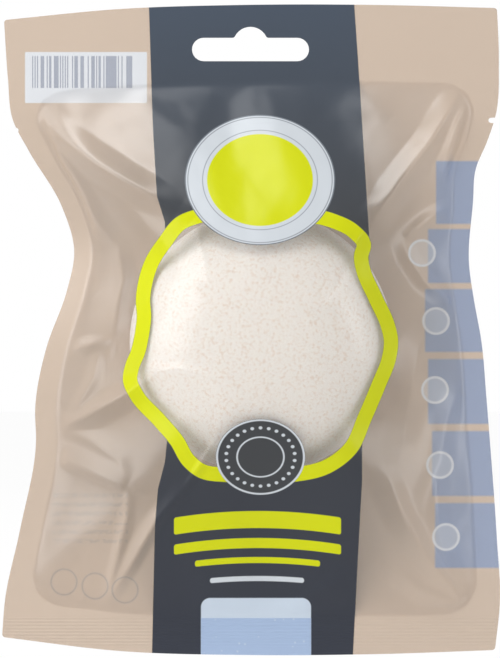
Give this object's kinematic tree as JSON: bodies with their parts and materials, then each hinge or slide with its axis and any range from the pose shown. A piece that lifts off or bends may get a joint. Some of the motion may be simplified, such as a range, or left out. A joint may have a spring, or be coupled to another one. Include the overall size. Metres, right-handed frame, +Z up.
{
  "type": "konjac sponge in a hang-sell pouch",
  "caption": "Soft domed facial sponge sealed between a clear printed front film and an opaque printed back film, with a hang slot and a tear-off header strip.",
  "frame": {"origin": "centre of the hang slot's bar, on the weld plane between the front and the back film", "axes": "+Z up as the pouch hangs, +X to the right seen from the front, the front faces -Y and the flat back +Y"},
  "size_m": [0.136, 0.035, 0.1775],
  "materials": {
    "sponge": "moist open-pored plant-fibre sponge",
    "front_web": "clear glossy laminate film, reverse printed in dark grey, lime green and white",
    "back_web": "glossy laminate film printed beige with slate-blue panels"
  },
  "bodies": {
    "tear_strip": {"front_header": "front_web", "back_header": "back_web"},
    "pouch": {"konjac_sponge": "sponge", "front_film": "front_web", "back_film": "back_web"}
  },
  "joints": [
    {"name": "tear_off", "type": "slide", "parent": "tear_strip", "child": "pouch", "axis": [0, 0, -1], "range_m": [0, 0.035]}
  ]
}
